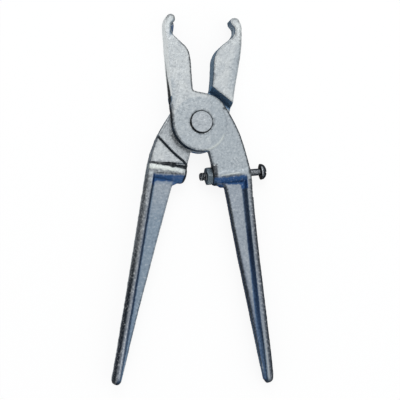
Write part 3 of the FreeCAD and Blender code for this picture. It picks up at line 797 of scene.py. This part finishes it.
def makeRivet():
    # The profile turned about Z: two flat countersunk heads on a shank. Radius and height run
    # along the profile; the heads' flats are pressed in by waves a few mm long.
    look = rivetShape
    top, rim, chamfer = look["height"], look["rim"], look["chamfer"]
    flat = np.linspace(0, rim - chamfer, 22)
    half = [(r, top) for r in flat] + [(rim - chamfer * 0.5, top - chamfer * 0.35), (rim, top - chamfer),
                                       (look["shank"], top - look["headDepth"]), (look["shank"], top / 2)]
    profile = np.array(half + [(r, top - h) for r, h in half[-2::-1]])
    angle = np.linspace(0, tau, look["columns"], endpoint=False)
    points = np.stack([profile[:, :1] * np.cos(angle), profile[:, :1] * np.sin(angle),
                       profile[:, 1:] + 0 * angle], -1).reshape(-1, 3)
    piece = closeUp(makeMesh("rivet_body", points, gridFaces(len(profile), look["columns"])[:, ::-1], rivetSteel))
    points = meshPoints(piece)
    radius = np.hypot(points[:, 0], points[:, 1])
    dent = look["dents"] * (1.3 + 0.5 * waves(points, 3.2, 41) + 0.35 * waves(points, 1.4, 42))
    inward = np.sign(points[:, 2] - top / 2) * (1 - smooth(rim - 1.2, rim - 0.6, radius))
    onHead = np.abs(points[:, 2] - top / 2) > top / 2 - 0.1
    points[:, 2] -= np.clip(dent, 0, 0.3) * inward * onHead
    piece.data.vertices.foreach_set("co", (points / 1000).ravel())
    around = np.cos(np.arctan2(points[:, 1], points[:, 0]) - math.radians(225))
    # painted shade in the groove round each head
    pointValues(piece, "shadeLine", (0.72 + 0.28 * around) * smooth(rim - 0.55, rim - 0.25, radius + 0.25 * around))
    pointValues(piece, "sand", 0.45 + 0 * radius)
    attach(piece, "screw_lever")
    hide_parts("pivot_rivet")


def onBarAxis(along, offset, upward):
    # distances along the bar, across it and up, in mm, to points on the bar's axis
    c, s = cosSin(pattern["barTilt"])
    x, y = pattern["barEnd"]
    return np.stack([x + along * c - offset * s, y + along * s + offset * c, pattern["thickness"] / 2 + upward], -1)


screwShape = {
    "start": -6.9,        # of the tip along the bar, mm
    "length": 35.6,       # to under the head
    "radius": 2.413, "pitch": 25.4 / 24, "root": 2.0,
    "point": 0.6,         # how much the tip's cone takes off the radius
    "neck": 6.0,          # plain length under the head, as thin as the thread's root
    "runOut": 1.2,        # over which the thread fades into it
    "headRadius": 4.55, "headHeight": 3.5, "domePower": 2.3,
    "slotWidth": 1.3, "slotDepth": 1.9, "slotTurn": 25.0,
    "columns": 40, "ringsPerTurn": 12, "slotLines": 41, "domePoints": 33,
}


def threadHeight(turns):
    # a 60 degree thread: 0 at the root and 1 at the crest, both a little flat
    t = np.abs((turns % 1.0) * 2 - 1)
    return np.clip((t - 0.14) / 0.74, 0, 1)


def screwShank():
    # A grid of distance and angle, whose radius follows a helix: the phase is distance over
    # pitch less the angle's share of a turn. The tip is cut by a cone.
    look = screwShape
    threaded, length = look["length"] - look["neck"], look["length"]
    rings = np.arange(0, threaded, look["pitch"] / look["ringsPerTurn"])
    s = np.concatenate([rings, np.linspace(threaded, length + 0.6, 10)])
    angle = np.linspace(0, tau, look["columns"], endpoint=False)
    phase = s[:, None] / look["pitch"] - angle / tau
    fade = 1 - smooth(threaded - look["runOut"], threaded, s)[:, None]
    radius = look["root"] + (look["radius"] - look["root"]) * threadHeight(phase) * fade
    radius = np.minimum(radius, look["radius"] - look["point"] + s[:, None])
    along = np.repeat(s[:, None], look["columns"], 1)
    radius = np.concatenate([0 * radius[:1], radius, 0 * radius[:1]])
    along = np.concatenate([along[:1], along, along[-1:]])
    points = onBarAxis(look["start"] + along, radius * np.cos(angle), radius * np.sin(angle)).reshape(-1, 3)
    # painted highlights on the thread's crests and along the neck
    crest = smooth(0.55, 0.95, threadHeight(phase)) * fade
    crest = np.concatenate([0 * crest[:1], crest, 0 * crest[:1]])
    neck = (along > threaded - 0.6) * smooth(0.7, 1.0, np.abs(np.sin(angle)))
    return points, gridFaces(len(along), look["columns"]), np.maximum(0.6 * crest, 0.35 * neck).ravel()


def screwHead():
    # Lines across the slot's width, each a loop over the dome and back under it: the dome is a
    # superellipse, tall times (1 - q^n)^(1/n), and the slot's floor cuts it off.
    look = screwShape
    big, tall, wide, power = look["headRadius"], look["headHeight"], look["slotWidth"] / 2, look["domePower"]
    spread = big * np.sin(np.linspace(-math.pi / 2, math.pi / 2, look["slotLines"]))
    spread = spread[np.abs(np.abs(spread) - wide) > 0.12]
    a = np.sort(np.concatenate([spread, [-wide - 0.05, -wide, wide, wide + 0.05]]))
    t = np.sin(np.linspace(-math.pi / 2, math.pi / 2, look["domePoints"]))
    b = np.sqrt(np.maximum(big ** 2 - a ** 2, 0))[:, None] * t
    q = np.clip(np.hypot(a[:, None], b) / big, 0, 1)
    dome = tall * (1 - q ** power) ** (1 / power)
    dome = np.where(np.abs(a)[:, None] <= wide, np.minimum(dome, tall - look["slotDepth"]), dome)
    across = np.concatenate([b, b[:, ::-1]], 1)
    rise = np.concatenate([dome, 0 * dome], 1)
    over = np.repeat(a[:, None], across.shape[1], 1)
    c, s = cosSin(look["slotTurn"])
    offset, upward = over * c - across * s, over * s + across * c
    points = onBarAxis(look["start"] + look["length"] + rise, offset, upward).reshape(-1, 3)
    # painted highlight in a band across the dome
    shine = band(rise, 0.05, 0.75, 0.2) * smooth(3.4, 4.1, upward)
    return points, gridFaces(len(a), across.shape[1]), shine.ravel()


def makeScrew():
    shank, shankFaces, shankShine = screwShank()
    head, headFaces, headShine = screwHead()
    piece = makeMesh("screw_body", np.concatenate([shank, head]),
                     np.concatenate([shankFaces, headFaces + len(shank)]), screwSteel)
    pointValues(piece, "highlight", np.concatenate([shankShine, headShine]))
    closeUp(piece)
    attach(piece, "stop_screw")
    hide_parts("stop_screw")


nutShape = {
    "start": -3.32,       # of its face along the bar, mm
    "flats": 9.525, "thickness": 3.3, "bore": 2.463,
    "cut": 0.45,          # depth of the thread in the bore
    "columns": 72, "boreRings": 24,
}


def makeNut():
    # A loop of radius and distance at every angle: flat end, 30 degree chamfer cone met by the
    # hexagon's side, the other end the same, and a threaded bore back to the start.
    look = nutShape
    inner, long, bore, sixth = look["flats"] / 2, look["thickness"], look["bore"], tau / 6
    angle = np.linspace(0, tau, look["columns"], endpoint=False)
    toCorner = (angle + sixth / 2) % sixth - sixth / 2
    side = inner / np.cos(toCorner - np.sign(toCorner + 1e-9) * sixth / 2)
    side = side - 0.12 * np.exp(-(np.degrees(toCorner) / 4) ** 2)
    run = (side - inner) * math.tan(math.radians(30)) + 0.06
    cone = (inner * 0.985 + side) / 2
    rows = [(0, bore), (0, inner * 0.8), (0, inner * 0.97), (run * 0.5, cone), (run, side - 0.03),
            (run + 0.1, side), (long / 2, side), (long - run - 0.1, side), (long - run, side - 0.03),
            (long - run * 0.5, cone), (long, inner * 0.97), (long, inner * 0.8)]
    ahead = look["start"] - screwShape["start"]
    for d in np.linspace(long, 0, look["boreRings"]):
        rows.append((d, bore + look["cut"] * threadHeight((ahead + d) / screwShape["pitch"] - angle / tau)))
    along = np.stack([row[0] + 0 * angle for row in rows])
    radius = np.stack([row[1] + 0 * angle for row in rows])
    points = onBarAxis(look["start"] + along, radius * np.sin(angle), radius * np.cos(angle)).reshape(-1, 3)
    piece = makeMesh("nut_body", points, gridFaces(len(rows), look["columns"]), nutSteel)
    # painted highlight on the hexagon's corners
    corner = 0.4 * np.exp(-(np.degrees(toCorner) / 5) ** 2)
    pointValues(piece, "highlight", np.stack([corner * (3 < k < 9) for k in range(len(rows))]).ravel())
    closeUp(piece)
    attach(piece, "lock_nut")
    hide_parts("lock_nut")


makeRivet()
makeScrew()
makeNut()
print("rivet, screw and nut made")


view = {
    "yaw": 12.0,           # degrees the tool is turned about its length
    "pitch": 6.5,          # and about its width
    "roll": 1.12,
    "distance": 900.0,     # mm to the pivot
    "pixelsPerMm": 1.765,
    "pivotAt": (201.85, 121.6),
    "faceHeight": 12.0,
    "frame": 400,          # pixels across and down
}
studio = {
    "paper": "#F4F5F6",
    "plainWhite": 0.84,    # how far the paper is plain white to the eye
    "glow": 1.04,          # strength of that white
    "tableHalf": 3000.0,   # mm
    "underTool": 0.02,     # mm that the table lies below the tool
    "skyLight": 0.62,      # strength of the white sky as a light
    # each softbox: where it stands and its size, in metres, and its power in watts
    "softboxes": {"key softbox": ((-0.2, 0.8, 1.1), 0.9, 5.0), "fill softbox": ((0.8, -0.2, 0.9), 1.2, 1.5)},
}


def aimCamera():
    # The view axis leans by yaw and pitch; the pivot's face then lands on its own pixel.
    back = Vector((-math.tan(math.radians(view["yaw"])), -math.tan(math.radians(view["pitch"])), 1)).normalized()
    up = (Vector((0, 1, 0)) - back * back.y).normalized()
    right = up.cross(back)
    c, s = cosSin(view["roll"])
    right, up = right * c + up * s, up * c - right * s
    focus = view["pixelsPerMm"] * view["distance"]
    (u, v), centre = view["pivotAt"], view["frame"] / 2
    aim = back * -focus + right * (u - centre) + up * (centre - v)
    spot = Vector((0, 0, view["faceHeight"])) - aim * (view["distance"] / focus)
    lens = bpy.data.cameras.new("camera")
    lens.sensor_width = 36.0
    lens.lens = focus * lens.sensor_width / view["frame"]
    lens.clip_end = 20.0
    camera = bpy.data.objects.new("camera", lens)
    turned = Matrix((right, up, back)).transposed().to_4x4()
    camera.matrix_world = Matrix.Translation(spot / 1000) @ turned
    scene.collection.objects.link(camera)
    scene.camera = camera


def seenDirectly(tree):
    # 1 for rays from the camera or off a shiny surface, 0 for the rays that only carry light
    seen = 0.0
    for ray in ("Is Camera Ray", "Is Glossy Ray", "Is Transmission Ray"):
        path = addNode(tree, "LightPath", out=ray)
        seen = addNode(tree, "Math", larger, {0: seen, 1: path})
    return seen


def makeTable():
    # White paper: plain white to the eye, with only a faint soft shadow under the tool.
    half, drop = studio["tableHalf"], -studio["underTool"]
    material, tree = newMaterial("white paper")
    paper = addNode(tree, "BsdfDiffuse", {}, {"Color": linear(studio["paper"])})
    white = addNode(tree, "Emission", {}, {"Color": [1, 1, 1, 1], "Strength": studio["glow"]})
    share = addNode(tree, "Math", times, {0: seenDirectly(tree), 1: studio["plainWhite"]})
    mixed = addNode(tree, "MixShader", {}, {0: share, 1: paper, 2: white})
    addNode(tree, "OutputMaterial", {}, {"Surface": mixed})
    corners = [(-half, -half, drop), (half, -half, drop), (half, half, drop), (-half, half, drop)]
    table = makeMesh("table", corners, [(0, 1, 2, 3)], material)


def makeWorld():
    world = bpy.data.worlds.new("studio")
    world.use_nodes = True
    tree = world.node_tree
    tree.nodes.clear()
    level = addNode(tree, "MapRange", {}, {
        "Value": seenDirectly(tree), "To Min": studio["skyLight"], "To Max": 1.0})
    sky = addNode(tree, "Background", {}, {"Color": [1, 1, 1, 1], "Strength": level})
    addNode(tree, "OutputWorld", {}, {"Surface": sky})
    scene.world = world


def addSoftbox(name, spot, size, power):
    box = bpy.data.lights.new(name, "AREA")
    box.size = size
    box.energy = power
    lamp = bpy.data.objects.new(name, box)
    lamp.location = spot
    lamp.rotation_euler = (-Vector(spot)).to_track_quat("-Z", "Y").to_euler()
    scene.collection.objects.link(lamp)


aimCamera()
makeTable()
makeWorld()
for called, (spot, size, power) in studio["softboxes"].items():
    addSoftbox(called, spot, size, power)
scene.view_settings.view_transform = "Standard"
print("camera, table and lights placed")
